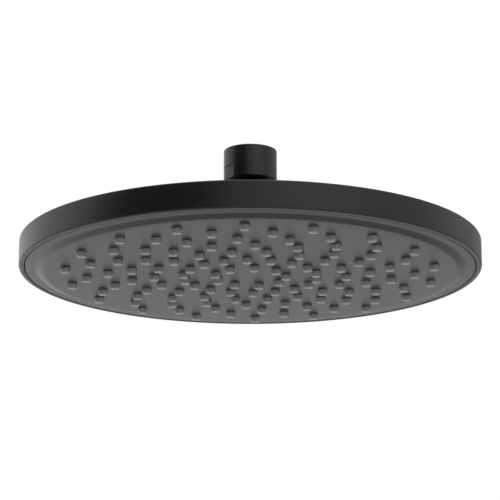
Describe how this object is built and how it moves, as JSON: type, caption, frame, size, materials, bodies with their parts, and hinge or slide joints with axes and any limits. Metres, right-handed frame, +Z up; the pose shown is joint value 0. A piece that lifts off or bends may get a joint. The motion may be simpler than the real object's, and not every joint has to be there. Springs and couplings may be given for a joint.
{
  "type": "rain shower head",
  "caption": "Round overhead rain shower head: threaded swivel ball inlet, thin matte black casing and a spray face with rings of soft grey nozzles.",
  "frame": {"origin": "centre of the inlet thread at the collar's mouth", "axes": "+Z up along the inlet's axis, out of its mouth; the head hangs below with its face down, and -Y is the side nearest the viewer"},
  "size_m": [0.23, 0.23, 0.0673],
  "materials": {
    "black_coated_brass": "matte black coating on brass",
    "black_casing": "matte black moulding",
    "black_face": "matte black moulding, finer grain",
    "silicone": "grey silicone",
    "inner_plastic": "natural dark moulding, inside",
    "acetal": "natural white acetal",
    "rubber": "black rubber",
    "stainless": "bright stainless",
    "brass": "turned brass"
  },
  "bodies": {
    "collar": {"swivel_collar": "black_coated_brass", "regulator_body": "acetal", "regulator_ring": "rubber", "filter_screen": "stainless", "inlet_washer": "rubber"},
    "liner": {"ball_liner": "acetal"},
    "head": {"swivel_nut": "black_coated_brass", "ball_seal": "rubber", "spigot": "black_coated_brass", "flange_gasket": "rubber", "shank_seal": "rubber", "lock_washer": "stainless", "lock_nut": "brass", "back_shell": "black_casing", "face_plate": "black_face", "nozzle_mat": "silicone", "chamber_lid": "inner_plastic", "chamber_seal": "rubber", "face_screws": "stainless"}
  },
  "joints": [
    {"name": "swivel", "type": "hinge", "parent": "collar", "child": "liner", "pos_m": [0, 0, -0.029], "axis": [0, 0, 1], "continuous": true},
    {"name": "tilt", "type": "hinge", "parent": "liner", "child": "head", "pos_m": [0, 0, -0.029], "axis": [1, 0, 0], "range_deg": [-15, 15]}
  ]
}
